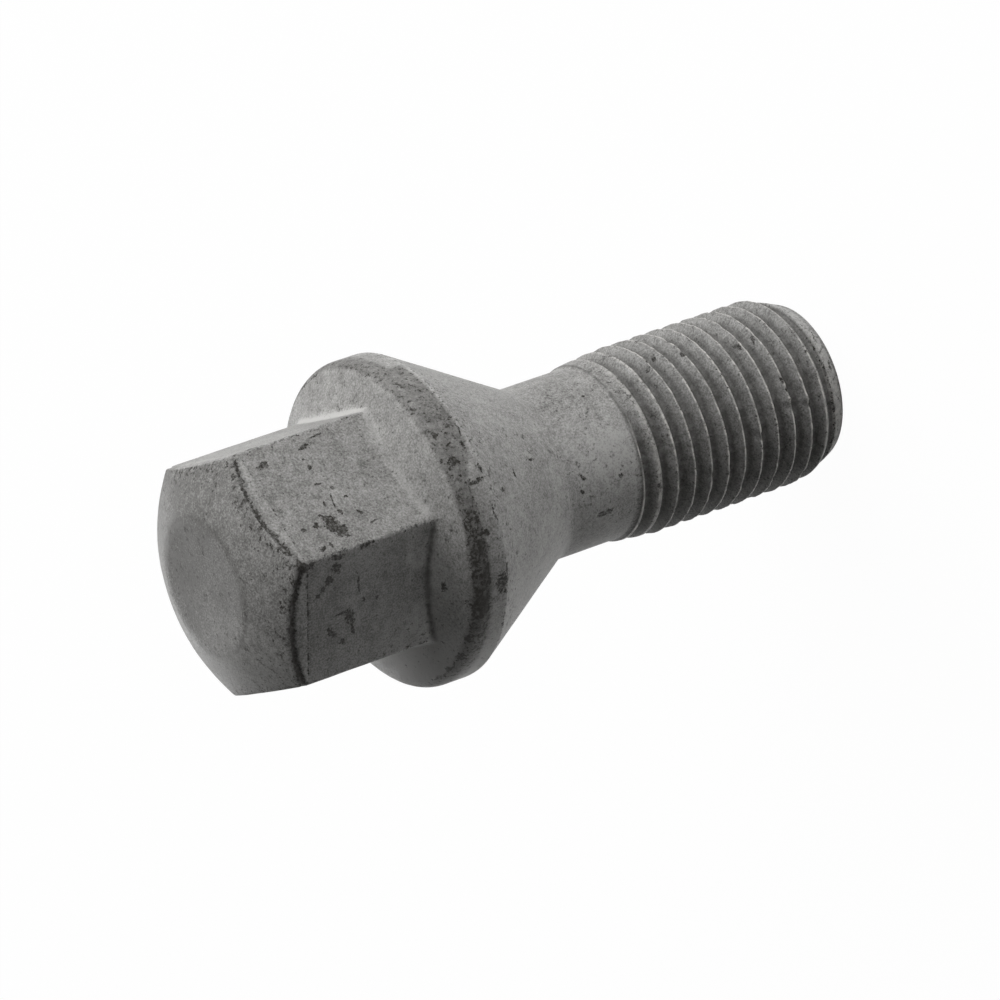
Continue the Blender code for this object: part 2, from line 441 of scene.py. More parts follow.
    def seat_cone(self, share, from_corner):
        upper_radius, upper = self.rim_front_edge(1, from_corner)
        lower_radius, lower = self.seat_blend(0, from_corner)
        radius = upper_radius + (lower_radius - upper_radius) * share
        return radius, upper + (lower - upper) * share

    def seat_blend(self, share, from_corner):
        angle = math.pi - self.half_cone * (1 - share)
        radius = self.blend_x + self.blend_radius * math.cos(angle)
        return radius, self.blend_z + self.blend_radius * math.sin(angle)

    def shank(self, share, from_corner):
        return self.shank_radius, self.blend_z + (self.strip_high - self.blend_z) * share

    def bands(self):
        """From the middle of the end down to the thread: rows in each band, and the band's form."""
        return (
            (5, self.end_disc),
            (5, self.end_edge),
            (12, self.dome),
            (4, self.dome_lip),
            (8, self.crease_groove),
            (4, self.lead_in_strip),
            (4, self.lead_in_line),
            (24, self.flat),
            (6, self.root_fillet),
            (14, self.collar_back),
            (9, self.rim_back_edge),
            (6, self.rim),
            (4, self.rim_front_edge),
            (28, self.seat_cone),
            (6, self.seat_blend),
            (7, self.shank),
        )

    def crowding(self, height):
        """How far the columns are crowded into the hexagon's corners at a height."""
        return smooth_step(height, self.blend_z, self.rim_front)

    def from_groove(self, turn, height):
        """Distance along the axis from the middle of the nearest groove; below it is negative."""
        middle = self.groove_start + self.pitch * turn / FULL_TURN
        return (height - middle + self.pitch / 2) % self.pitch - self.pitch / 2

    def groove_depth(self, offset):
        """Depth of the groove below the crests, at a distance from its middle."""
        if offset < self.root_meets_flank:
            bottom = self.ROOT_ROUNDING - math.sqrt(self.ROOT_ROUNDING**2 - offset**2)
            return self.depth - bottom
        edge = self.pitch / 2 - self.CREST_HALF_WIDTH
        return (edge - offset) / math.tan(self.FLANK_ANGLE)

    def blank_radius(self, height):
        """Radius of the blank: chamfered tip, crests, their rise, and the flare to the shank."""
        if height > self.shoulder:
            flare = smooth_step(height, self.shoulder, self.thread_length)
            return self.shoulder_radius + (self.shank_radius - self.shoulder_radius) * flare
        chamfer = self.tip_radius + (self.crest_radius - self.tip_radius) * height / self.chamfer_length
        rise = (self.shoulder - height) / self.rise_length
        rising = self.shoulder_radius + (self.crest_radius - self.shoulder_radius) * rise
        return min(chamfer, rising, self.crest_radius)

    def thread_radius(self, turn, height):
        offset = self.from_groove(turn, height)
        middle = height - offset
        start = self.shoulder - self.pitch / 3
        lift = smooth_step(middle, start, start + self.fade_length)
        lift *= self.depth + 2 * self.CREST_ROUNDING
        if middle < self.LOWEST_GROOVE and offset < 0:
            offset = min(0, offset + self.TORN_WIDTH)
        groove = self.crest_radius - self.groove_depth(abs(offset)) + lift
        return rounded_minimum(self.blank_radius(height), groove, self.CREST_ROUNDING)

    def thread_place(self, turn, height):
        """Radius and height of a row of the thread; rows below the tip lie on its flat face."""
        if height >= self.TIP_ROUNDING:
            return self.thread_radius(turn, height), height
        inner = self.tip_radius - self.TIP_ROUNDING
        if height <= -self.TIP_ROUNDING:
            below = (height + self.TIP_ROUNDING) / (self.strip_low + self.TIP_ROUNDING)
            return inner + (self.TIP_MIDDLE - inner) * below, 0
        start = (self.thread_radius(turn, self.TIP_ROUNDING), self.TIP_ROUNDING)
        share = (self.TIP_ROUNDING - height) / (2 * self.TIP_ROUNDING)
        return curve_through(start, (self.tip_radius, 0), (inner, 0), share)

    def levelled(self, turn, height):
        """Eases the first and the last turn of the thread's rows into level rings."""
        share = turn / FULL_TURN
        into_first = height - (self.strip_low - self.pitch * (1 - share))
        if into_first < self.pitch:
            return max(self.strip_low, self.strip_low + into_first * share)
        into_last = height - (self.strip_high - self.pitch * (1 - share))
        if into_last > 0:
            height -= into_last * share
        return min(self.strip_high, height)


def turn_of(point):
    """Angle round the axis, from 0 up to a full turn."""
    turn = math.atan2(point.y, point.x) % FULL_TURN
    return 0.0 if turn > FULL_TURN - 1e-5 else turn


def set_point(point, turn, radius, height):
    point.co = (radius * math.cos(turn), radius * math.sin(turn), height)


def turn_head_and_shank(bm, form):
    """Turns the bolt's profile about its axis, and then presses the head into a hexagon."""
    band_of = bm.verts.layers.int.new("band")
    share_of = bm.verts.layers.float.new("share")
    bands = form.bands()
    previous = None
    for band, (rows, curve) in enumerate(bands):
        for row in range(0 if band == 0 else 1, rows + 1):
            radius, height = curve(row / rows, HALF_SECTOR)
            point = bm.verts.new((radius, 0, height))
            point[band_of] = band
            point[share_of] = row / rows
            if previous:
                bm.edges.new((previous, point))
            previous = point
    bmesh.ops.spin(
        bm,
        geom=bm.verts[:] + bm.edges[:],
        cent=(0, 0, 0),
        axis=(0, 0, 1),
        angle=FULL_TURN,
        steps=COLUMNS,
        use_merge=True,
    )
    bmesh.ops.remove_doubles(bm, verts=bm.verts, dist=MERGE_DISTANCE)
    for point in bm.verts:
        column = round(turn_of(point.co) * COLUMNS / FULL_TURN) % COLUMNS
        corner = round(column * SIDES / COLUMNS)
        columns = column - corner * COLUMNS // SIDES
        even = column * FULL_TURN / COLUMNS
        offset = math.copysign(form.corner_offset(abs(columns)), columns)
        crowding = form.crowding(point.co.z)
        turn = even + (corner * SECTOR + offset - even) * crowding
        from_corner = abs(turn - corner * SECTOR)
        radius, height = bands[point[band_of]][1](point[share_of], from_corner)
        set_point(point, turn, radius, height)


def wind_thread(bm, form):
    """Winds one pitch of the thread's section round the axis, and stacks the turns."""
    lowest = form.strip_low - form.pitch
    points = []
    for share in form.THREAD_ROWS:
        height = lowest + form.pitch * share
        points.append(bm.verts.new((form.crest_radius, 0, height)))
    edges = [bm.edges.new(pair) for pair in zip(points, points[1:])]
    bmesh.ops.spin(
        bm,
        geom=points + edges,
        cent=(0, 0, 0),
        axis=(0, 0, 1),
        dvec=(0, 0, form.pitch / COLUMNS),
        angle=FULL_TURN,
        steps=COLUMNS,
    )
    first_turn = bm.verts[:] + bm.edges[:] + bm.faces[:]
    for turn in range(1, form.strip_turns):
        copied = bmesh.ops.duplicate(bm, geom=first_turn)["geom"]
        moved = [item for item in copied if isinstance(item, bmesh.types.BMVert)]
        bmesh.ops.translate(bm, verts=moved, vec=(0, 0, form.pitch * turn))
    bmesh.ops.remove_doubles(bm, verts=bm.verts, dist=MERGE_DISTANCE)
    for point in bm.verts:
        turn = turn_of(point.co)
        radius, height = form.thread_place(turn, form.levelled(turn, point.co.z))
        set_point(point, turn, radius, height)


def close_tip(bm):
    """Fills the small hole that the thread's rows leave in the middle of the flat tip."""
    rim = [edge for edge in bm.edges if edge.is_boundary]
    filled = bmesh.ops.holes_fill(bm, edges=rim, sides=0)["faces"]
    bmesh.ops.poke(bm, faces=filled)


def thread_mesh(form):
    bm = bmesh.new()
    wind_thread(bm, form)
    return mesh_from(bm, "thread")


def from_corner_of(turn):
    """Angle to the nearest corner of the hexagon."""
    return abs((turn + HALF_SECTOR) % SECTOR - HALF_SECTOR)


def near(value, middle, reach):
    """1 at the middle, falling to 0 with distance."""
    return math.exp(-(((value - middle) / reach) ** 2))


def within(value, low, high, edge):
    """1 between low and high, falling to 0 over the edge on either side."""
    return smooth_step(value, low - edge, low) * (1 - smooth_step(value, high, high + edge))


# Nicks in the thread: turn in degrees, height, reach and depth in millimetres; minus is a burr
NICKS = (
    (-18, 5.6, 0.25, 0.12),
    (-23, 5.62, 0.25, 0.1),
    (-18, 7.1, 0.25, 0.1),
    (-23, 7.12, 0.25, 0.12),
    (-15, 14.7, 0.3, 0.16),
    (-14, 11.5, 0.25, 0.12),
    (-5.6, 13.3, 0.3, 0.12),
    (-5, 7.2, 0.3, 0.14),
    (10.4, 16.4, 0.6, 0.1),
    (-67, 3.8, 0.22, -0.12),
    (-71, 3.75, 0.22, 0.16),
    (-64.7, 5.3, 0.22, -0.14),
    (-69, 5.25, 0.25, 0.18),
    (-50, 5.5, 0.3, 0.12),
    (-80, 8.3, 0.3, 0.14),
    (-95, 12.8, 0.35, 0.12),
    (60, 9.8, 0.4, 0.14),
    (130, 6.6, 0.3, 0.14),
    (175, 11.4, 0.4, 0.12),
)


def die_marks(form, turn, height):
    """Depth of the crease under the dome's edge, and of the fine line below it."""
    top = form.crease(from_corner_of(turn))[1] - form.LIP_ON_FLAT
    share = (top - height) / form.CREASE_WIDTH
    crease = math.sin(math.pi * share) ** 2 if 0 < share < 1 else 0
    line = max(0, 1 - abs(height - form.lead_in) / form.LINE_HALF_WIDTH)
    strength = form.crease_strength(turn)
    return strength * (form.CREASE_DEPTH * crease + form.LINE_DEPTH * line)


def nick_depth(form, turn, height):
    depth = 0
    for nick_turn, nick_height, reach, nick in NICKS:
        along = (height / MM - nick_height) / reach
        if abs(along) < 2:
            across = math.remainder(turn - math.radians(nick_turn), FULL_TURN)
            across *= form.crest_radius / MM / reach
            depth += nick * math.exp(-along * along - across * across)
    return depth * MM


# Unevenness of the surface: how far it lies off the true form, in millimetres, and how quickly
# that changes, per millimetre
FORGED_WAVES = ((0.02, 0.45), (0.006, 1.3))
SHANK_WAVES = ((0.012, 0.4),)
CREST_WAVES = ((0.045, 1.1), (0.04, 2.6))
TIP_WAVES = ((0.05, 1.6),)
# The crests lie lower by the first amount, and in patches also by the second, in millimetres
CREST_WORN = 0.02
CREST_CHIPPED = 0.08
CHIPS_PLACE = Vector((7, 3, 1))


def waves(place, kinds):
    return sum(height * noise.noise(place * frequency) for height, frequency in kinds)


def roughness_of_form(form, point, radius):
    """How far a point of the forged and rolled surface lies above its true place."""
    place = point.co / MM
    turn = math.atan2(point.co.y, point.co.x)
    if point.co.z > form.rim_front:
        ragged = 1 + 0.9 * noise.noise(place * 0.9)
        return waves(place, FORGED_WAVES) * MM - ragged * die_marks(form, turn, point.co.z)
    if point.co.z > form.strip_high:
        return waves(place, SHANK_WAVES) * MM
    on_crest = smooth_step(radius, form.crest_radius - 0.2 * MM, form.crest_radius - 0.04 * MM)
    chipped = smooth_step(noise.noise(place * 0.8 + CHIPS_PLACE), 0.35, 0.6)
    at_crest = on_crest * (waves(place, CREST_WAVES) - CREST_WORN - CREST_CHIPPED * chipped)
    at_tip = waves(place, TIP_WAVES) * within(point.co.z, 0.7 * MM, 1.5 * MM, 0.3 * MM)
    return (at_crest + at_tip) * MM - nick_depth(form, turn, point.co.z)


class Wear:
    """Tone and wear of the coating, with painted light and shade, from 0 to 1, for its material."""

    NAMES = ("tone", "scuffed", "crest", "grime_and_shade")
    # Share of the lighter grey on each part of the bolt
    # Tone of the tip's band, which is painted light
    TIP_PAINTED_LIGHT_TONE = 0.75
    THREAD_TONE = 0.4
    SHANK_TONE = 0.57
    CONE_TONE = 0.7
    RIM_TONE = 0.5
    COLLAR_TONE = 0.48
    FLAT_TONE = 0.39
    DOME_TONE = 0.25
    END_TONE = 0.1
    # The bolt is rubbed most at this turn, and opposite it; these sides also get painted shade on the
    # flats, and painted light and shade on the collar
    RUBBED_AND_SHADED_TURN = math.radians(-88)
    # Patches of painted light on the shank, the seat cone and the collar, and painted shade on one side
    # of the dome, with painted light on its other side
    SHANK_PAINTED_LIGHT_TURN = math.radians(-58)
    SHANK_PAINTED_LIGHT_HEIGHT = 20.8 * MM
    SHANK_PAINTED_LIGHT = 0.5
    CONE_PAINTED_LIGHT_TURN = math.radians(-108)
    CONE_PAINTED_LIGHT = 0.22
    COLLAR_PAINTED_LIGHT_TURN = math.radians(-140)
    COLLAR_PAINTED_LIGHT = 1.0
    DOME_PAINTED_SHADE_TURN = math.radians(50)
    DOME_PAINTED_SHADE = 0.17
    # The shank and the cone are darker all over, and the shank has painted shade once more on its X side
    DARK_SHANK = 0.1
    SHANK_PAINTED_SHADE_SIDE = 0.1
    # Lighter strip below the crease, painted highlight on the root fillet, and how much painted shade
    # darkens a flat on the rubbed sides
    STRIP = 0.14
    FILLET = 0.8
    RUBBED_SIDE_PAINTED_SHADE = 0.14
    # On the rubbed sides the collar has painted light beside the flats and painted shade further out
    PAINTED_LIGHT_FOOT = 0.4
    PAINTED_SHADE_OUTER = 0.45
    # The crests grow blunt between these two heights
    SHARP_BELOW = 15.3 * MM
    BLUNT_ABOVE = 17.3 * MM
    # The shoulder's edge has a painted highlight between these two
    SHOULDER_HIGHLIGHT_LOW = 18.2 * MM
    SHOULDER_HIGHLIGHT_HIGH = 18.5 * MM
    # Height up to which the tip has painted light beside its groove, and half width of that groove
    TIP_BAND = 1.6 * MM
    TIP_GROOVE = 0.3 * MM

    def __init__(self, form):
        self.form = form

    def at(self, point):
        """The four amounts at a point of the true form."""
        form = self.form
        height = point.z
        radius = math.hypot(point.x, point.y)
        turn = math.atan2(point.y, point.x)
        crease = form.crease(from_corner_of(turn))[1]
        tone = self.tone(height, crease)
        if height < form.rim_front:
            tone += self.shank_and_cone(turn, height)
        if height < form.strip_high:
            return self.on_thread(tone, turn, height, radius)
        scuffed = self.on_head(turn, height, radius, crease)
        if height < form.rim_front:
            return tone, scuffed, 0.0, 0.0
        tone += self.dome_and_end(turn, height, radius, crease)
        tone += self.round_the_head(turn, height, radius)
        return tone, scuffed, 0.0, self.shade_and_dirt(turn, height, radius, crease)

    def tone(self, height, crease):
        """Tone of each part of the bolt, with a soft change from one to the next."""
        form = self.form
        steps = (
            (form.shoulder, 0.5 * MM, self.SHANK_TONE),
            (form.blend_z, 3 * MM, self.CONE_TONE),
            (form.rim_front, 0.5 * MM, self.RIM_TONE),
            (form.rim_back + 0.6 * MM, 0.5 * MM, self.COLLAR_TONE),
            (form.rim_back + 2.2 * MM, 1 * MM, self.FLAT_TONE),
            (crease - 0.1 * MM, 0.2 * MM, self.DOME_TONE),
        )
        tone = self.THREAD_TONE
        for start, change_length, next_tone in steps:
            tone += (next_tone - tone) * smooth_step(height, start, start + change_length)
        return tone

    def rubbed(self, turn, reach):
        """How near a turn is to the two rubbed sides, which also get painted light and shade."""
        return near(math.remainder(turn - self.RUBBED_AND_SHADED_TURN, math.pi), 0, reach)

    def shank_and_cone(self, turn, height):
        """Change of tone on the shank and the seat cone: patches of painted light, and painted shade on
        the shank's X side.
        """
        form = self.form
        # Painted light in a patch on the shank and one on the seat cone, and painted shade on the
        # shank's X side
        patch = near(height, self.SHANK_PAINTED_LIGHT_HEIGHT, 3.5 * MM) * near(turn, self.SHANK_PAINTED_LIGHT_TURN, 0.45)
        painted_shade_side = near(turn, 0, 0.5) * (1 - form.crowding(height))
        cone_patch = near(turn, self.CONE_PAINTED_LIGHT_TURN, 0.35)
        cone_patch *= smooth_step(height, form.blend_z, form.blend_z + 4 * MM)
        change = self.SHANK_PAINTED_LIGHT * patch + self.CONE_PAINTED_LIGHT * cone_patch
        change -= self.DARK_SHANK + self.SHANK_PAINTED_SHADE_SIDE * painted_shade_side
        return change * smooth_step(height, form.shoulder, form.thread_length)

    def dome_and_end(self, turn, height, radius, crease):
        """Change of tone on the dome, on its end disc, and on the strip below the crease, with painted
        shade on one side of the dome and painted light on the other.
        """
        form = self.form
        inner = 1 - smooth_step(radius, form.end_radius - 0.3 * MM, form.end_radius + 0.3 * MM)
        change = (self.END_TONE - self.DOME_TONE) * inner
        if height > crease:
            # Painted shade on the dome's side towards this turn, and painted light on the far side
            side = math.cos(turn - self.DOME_PAINTED_SHADE_TURN)
            change -= self.DOME_PAINTED_SHADE * side * min(1, radius / form.end_radius)
        strip = within(height, form.lead_in + 0.15 * MM, crease - 0.75 * MM, 0.1 * MM)
        return change + self.STRIP * strip

    def on_crest(self, turn, height, radius, offset):
        """Share of a crest at a point of the thread, and how bright it is there: rubbed bright, with a
        painted highlight, along the crest, and a painted highlight on the shoulder's edge.
        """
        form = self.form
        from_crest = offset - math.copysign(form.pitch / 2, offset)
        below = (form.blank_radius(max(height, 0)) - radius) / form.depth
        blunt = smooth_step(height, self.SHARP_BELOW, self.BLUNT_ABOVE)
        crest = 1 - smooth_step(below, 0.03, 0.12)
        crest *= 1 - smooth_step(height, form.shoulder - 0.2 * MM, form.shoulder)
        # The bright crest line is partly rubbed metal and partly a painted highlight
        line = near(from_crest, -0.02 * MM, (0.065 + 0.12 * blunt) * MM) * crest
        line *= within(height, 1.5 * MM, form.shoulder - 0.9 * MM, 0.3 * MM) * (1 - 0.6 * blunt)
        line *= 0.45 + 0.55 * self.rubbed(turn, 1.1)
        # Painted highlight along the shoulder's edge where the groove runs out
        edge = near(below, 0.02, 0.035) * within(height, self.SHOULDER_HIGHLIGHT_LOW, self.SHOULDER_HIGHLIGHT_HIGH, 0.1 * MM)
        edge *= 1 - smooth_step(turn, math.radians(-60), math.radians(-40))
        return crest, max(line, edge if offset > 0 else 0)

    def on_thread(self, tone, turn, height, radius):
        """Bright broken crests with painted highlights, grime and painted shade in the roots and at the
        flare, and painted light on the tip beside a torn lowest groove.
        """
        form = self.form
        offset = form.from_groove(turn, height)
        rubbed = self.rubbed(turn, 1.1)
        crest, bright = self.on_crest(turn, height, radius, offset)
        at_tip = 1 - smooth_step(height, self.TIP_BAND - 0.15 * MM, self.TIP_BAND)
        at_tip *= smooth_step(abs(offset), self.TIP_GROOVE - 0.1 * MM, self.TIP_GROOVE)
        torn = near(offset, -self.TIP_GROOVE - 0.02 * MM, 0.1 * MM) * (height < self.TIP_BAND)
        # Grime and painted shade in the roots of the thread, and painted shade in the corner at the
        # flare
        root = smooth_step((form.crest_radius - radius) / form.depth, 0.5, 0.95)
        root *= within(height, 0.9 * MM, form.shoulder, 0.2 * MM) * (0.75 + 0.25 * rubbed)
        flare = 0.9 * near(height, form.shoulder + 0.12 * MM, 0.09 * MM)
        # Painted light on the tip's band, and a painted highlight on it near -92 degrees
        tone += (self.TIP_PAINTED_LIGHT_TONE - tone) * at_tip
        scuffed = max((0.3 + 0.5 * rubbed) * torn, 0.28 * crest)
        bright = max(bright, 0.45 * at_tip * near(turn, -1.6, 0.7))
        return tone, scuffed, bright, max(root * (1 - at_tip), torn, flare)

    def from_root(self, turn, height, radius):
        """Distance from the line where the flats meet the collar's back."""
        root_radius, root_height = self.form.root(from_corner_of(turn))
        return math.hypot(radius - root_radius, height - root_height)

    def round_the_head(self, turn, height, radius):
        """Changes of tone: painted shade on the flats of the rubbed sides, a painted highlight on the
        root fillet, painted light on the collar beside it with painted shade further out, and a patch of
        painted light low on the collar.
        """
        form = self.form
        rubbed = self.rubbed(turn, 0.45)
        if height > form.rim_back + 4 * MM:
            return -self.RUBBED_SIDE_PAINTED_SHADE * rubbed
        # Painted highlight along the root fillet
        fillet = near(self.from_root(turn, height, radius), 0.12 * MM, 0.25 * MM)
        fillet *= self.FILLET * (1 - form.crease_strength(turn))
        outer = smooth_step(radius, form.flat_distance + 0.3 * MM, form.flat_distance + 2.2 * MM)
        on_back = smooth_step(radius, form.flat_distance + 0.05 * MM, form.flat_distance + 0.2 * MM)
        on_back *= height > form.rim_back + 1.0 * MM
        # Painted light in a patch on the collar's lower side
        patch = near(math.remainder(turn - self.COLLAR_PAINTED_LIGHT_TURN, FULL_TURN), 0, 0.5)
        patch *= 1 - smooth_step(height, form.rim_back + 2 * MM, form.rim_back + 4 * MM)
        # Painted light beside the flats and painted shade further out, with painted shade all over, on
        # the rubbed sides
        foot = on_back * (self.PAINTED_LIGHT_FOOT - self.PAINTED_SHADE_OUTER * outer) - self.RUBBED_SIDE_PAINTED_SHADE
        return fillet + self.COLLAR_PAINTED_LIGHT * patch + rubbed * foot

    def shade_and_dirt(self, turn, height, radius, crease):
        """Painted shade where the flats meet the collar's back and in the crease, a dark ring round the
        end disc, and the dark worn band round the rim.
        """
        form = self.form
        strength = form.crease_strength(turn)
        at_root = 1.4 * near(self.from_root(turn, height, radius), 0, 0.27 * MM) * strength**2
        at_disc = 0.5 * near(radius, form.end_radius + 0.1 * MM, 0.17 * MM) * (height > crease)
        creased = 0.9 * near(height, self.crease_middle(crease), 0.26 * MM) * strength
        return max(
            at_root,
            at_disc,
            creased * self.on_side(radius),
            self.rim_band(turn, height, radius, 0.6, 0.3),
        )

    def crease_middle(self, crease):
        return crease - self.form.LIP_ON_FLAT - 0.4 * self.form.CREASE_WIDTH

    def on_side(self, radius):
        """1 on the hexagon's side, and 0 further in, on its dome."""
        flat = self.form.flat_distance
        return smooth_step(radius, flat - 0.6 * MM, flat - 0.3 * MM)

    def rim_band(self, turn, height, radius, everywhere, where_rubbed):
        """Dark band round the rim, strongest where the rim is rubbed."""
        form = self.form
        rubbed = math.remainder(turn - self.RUBBED_AND_SHADED_TURN, math.pi)
        strength = everywhere + where_rubbed * near(rubbed, 0, math.radians(32))
        lowest = form.rim_back - 0.4 * MM - 1.0 * MM * smooth_step(rubbed, 0.65, 0.9)
        outer = smooth_step(radius, form.collar_radius - 0.75 * MM, form.collar_radius - 0.35 * MM)
        return strength * outer * within(height, lowest, form.rim_back + 0.8 * MM, 0.25 * MM)

    def on_head(self, turn, height, radius, crease):
        """Dark rubbing on the rim and on its front edge, and wear with painted shade in the crease under
        the dome.
        """
        form = self.form
        front = 0.4 * near(height, form.edge_z - 0.1 * MM, 0.16 * MM)
        # Wear and painted shade in the crease and along the fine line below it
        creased = 1.5 * near(height, self.crease_middle(crease), 0.25 * MM)
        creased *= form.crease_strength(turn) ** 0.8
        line = 0.8 * near(height, form.lead_in, 0.09 * MM) * form.crease_strength(turn)
        at_edge = 0.45 * near(height, crease + 0.15 * MM, 0.55 * MM)
        at_corner = 0.35 * near(from_corner_of(turn), 0, 0.04) * (height > form.rim_back + 2 * MM)
        end_disc = 0.18 * (radius < form.end_radius + 0.2 * MM)
        on_seat = 0.2 * near(height, form.rim_front - 0.8 * MM, 1.3 * MM)
        return max(
            self.rim_band(turn, height, radius, 0.35, 0.5),
            front,
            on_seat,
            (creased + line) * self.on_side(radius),
            at_edge,
            at_corner,
            end_disc,
        )


def weather(bm, form):
    """Makes the true form a little uneven, and stores the wear, with painted light and shade, for the
    material.
    """
    wear = Wear(form)
    layers = [bm.verts.layers.float.new(name) for name in Wear.NAMES]
    bm.normal_update()
    normals = [point.normal.copy() for point in bm.verts]
    for point, normal in zip(bm.verts, normals):
        for layer, amount in zip(layers, wear.at(point.co)):
            point[layer] = amount
        radius = math.hypot(point.co.x, point.co.y)
        on_tip = point.co.z < MERGE_DISTANCE
        point.co += normal * roughness_of_form(form, point, radius)
        if on_tip:
            point.co.z = 0


def build_bolt(sizes):
    """Mesh of the whole bolt: one closed skin."""
    form = BoltForm(sizes)
    thread = thread_mesh(form)
    bm = bmesh.new()
    turn_head_and_shank(bm, form)
    bm.from_mesh(thread)
    bpy.data.meshes.remove(thread)
    bmesh.ops.remove_doubles(bm, verts=bm.verts, dist=MERGE_DISTANCE)
    close_tip(bm)
    bmesh.ops.recalc_face_normals(bm, faces=bm.faces)
    if any(not edge.is_manifold for edge in bm.edges):
        raise RuntimeError("the bolt's skin isn't closed")
    weather(bm, form)
    for face in bm.faces:
        face.smooth = True
    return mesh_from(bm, "coated_bolt")


class WheelBoltFinish(bpy.types.PropertyGroup):
    """Colours and finish of the coating"""

    light_grey: colour_setting(
        "Light grey", "Lighter tone of the zinc flake coating", (0.42, 0.416, 0.405)
    )
    dark_grey: colour_setting(
        "Dark grey", "Darker tone of the zinc flake coating", (0.122, 0.12, 0.115)
    )
    scuff: colour_setting(
        "Scuff", "Colour where the coating is rubbed down to dark steel", (0.024, 0.022, 0.019)
    )
    # Grime and painted shade: colour of the thread's roots, the crease, the line where the flats meet
    # the collar, and the rim's worn band
    grime_and_shade: colour_setting("Grime", "Colour of the thread's roots", (0.065, 0.063, 0.059))
    # Colour of the rubbed bright crests, and of the painted highlights on the crests, the shoulder's
    # edge and the tip
    bright: colour_setting(
        "Bright crest",
        "Colour of the crests of the thread, where they are rubbed bright",
        (0.75, 0.73, 0.69),
    )
    shine: share_setting("Shine", "Specular level of the coating", 0.14)
    roughness: share_setting("Roughness", "Roughness of the coating", 0.5)


class ShaderNodes:
    """Adds and joins the nodes of a material or of the world."""

    def __init__(self, tree):
        self.tree = tree

    def join(self, value, socket):
        """Links an output to a socket, or sets a plain value there."""
        if isinstance(value, bpy.types.NodeSocket):
            self.tree.links.new(value, socket)
        else:
            socket.default_value = value

    def add(self, kind, inputs, output, **settings):
        """Adds a node, fills its inputs, and returns one of its outputs."""
        node = self.tree.nodes.new("ShaderNode" + kind)
        for name, value in settings.items():
            setattr(node, name, value)
        for name, value in inputs.items():
            self.join(value, node.inputs[name])
        return node.outputs[output]

    def math(self, operation, *values):
        return self.add("Math", dict(enumerate(values)), "Value", operation=operation)

    def vector(self, operation, *values, output="Vector"):
        return self.add("VectorMath", dict(enumerate(values)), output, operation=operation)

    def weighted(self, *terms):
        """Sum of some values, each times its weight."""
        total = None
        for value, weight in terms:
            part = self.math("MULTIPLY", value, weight)
            total = self.math("ADD", total, part) if total else part
        return total

    def noise(self, place, scale, detail, roughness, output="Fac"):
        inputs = {"Vector": place, "Scale": scale, "Detail": detail, "Roughness": roughness}
        return self.add("TexNoise", inputs, output)

    def ramp(self, value, low, high, to_low=0.0, to_high=1.0):
        """Smooth change from to_low to to_high as a value goes from low to high."""
        inputs = {"Value": value, "From Min": low, "From Max": high, "To Min": to_low, "To Max": to_high}
        return self.add("MapRange", inputs, "Result", interpolation_type="SMOOTHSTEP")

    def mix(self, share, first, second):
        return self.add("Mix", {"Factor": share, "A": first, "B": second}, "Result", data_type="RGBA")

    def attribute(self, name):
        return self.add("Attribute", {}, "Fac", attribute_name=name)

    def millimetres(self):
        """Object coordinates, in millimetres."""
        place = self.add("TexCoord", {}, "Object")
        return self.add("Mapping", {"Vector": place, "Scale": (1 / MM, 1 / MM, 1 / MM)}, "Vector")

    def unrolled(self, place):
        """Turn in millimetres round the hexagon, and height: flat coordinates for the marks."""
        split = self.tree.nodes.new("ShaderNodeSeparateXYZ")
        self.join(place, split.inputs["Vector"])
        end = math.radians(MARKS_END)
        turn = self.math("ARCTAN2", split.outputs["Y"], split.outputs["X"])
        turn = self.math("WRAP", turn, end, end - math.pi)
        along = self.math("MULTIPLY", turn, MARKS_RADIUS)
        return self.add("CombineXYZ", {"X": along, "Y": split.outputs["Z"]}, "Vector")

    def jagged(self, unrolled, place):
        """Flat coordinates, shifted to and fro by noise."""
        shift = self.noise(place, *MARKS_NOISE, output="Color")
        shift = self.vector("SUBTRACT", shift, (NOISE_MIDDLE, NOISE_MIDDLE, NOISE_MIDDLE))
        shift = self.vector("MULTIPLY", shift, (MARKS_SHIFT, MARKS_SHIFT, 0))
        return self.vector("ADD", unrolled, shift)

    def marks(self, unrolled, marks):
        """Distance to the nearest mark: 0 in its middle and 1 at its edge."""
        nearest = None
        for turn, height, half_width, half_height, tilt in marks:
            inputs = {
                "Vector": unrolled,
                "Location": (math.radians(turn) * MARKS_RADIUS, height, 0),
                "Rotation": (0, 0, math.radians(tilt)),
                "Scale": (half_width, half_height, 1),
            }
            place = self.add("Mapping", inputs, "Vector", vector_type="TEXTURE")
            distance = self.vector("LENGTH", place, output="Value")
            nearest = self.math("MINIMUM", nearest, distance) if nearest else distance
        return nearest

    def show_white(self, plain, white, shown, output):
        """Camera, glossy and transmission rays see white for the share shown, all others plain."""
        path = self.tree.nodes.new("ShaderNodeLightPath").outputs
        ray = self.math("MAXIMUM", path["Is Camera Ray"], path["Is Glossy Ray"])
        ray = self.math("MAXIMUM", ray, path["Is Transmission Ray"])
        inputs = {"Fac": self.math("MULTIPLY", ray, shown), 1: plain, 2: white}
        surface = self.add("MixShader", inputs, "Shader")
        self.join(surface, self.tree.nodes[output].inputs["Surface"])


def rgba(rgb):
    return (*rgb, 1)


# Dark marks lie on half of the bolt, and come again on the other half. The turn at which that half
# ends, in degrees, and the radius at which turns are laid out flat, in millimetres
MARKS_END = 35
MARKS_RADIUS = 8.6
# How far noise shifts their edges to and fro, in millimetres
MARKS_SHIFT = 0.5
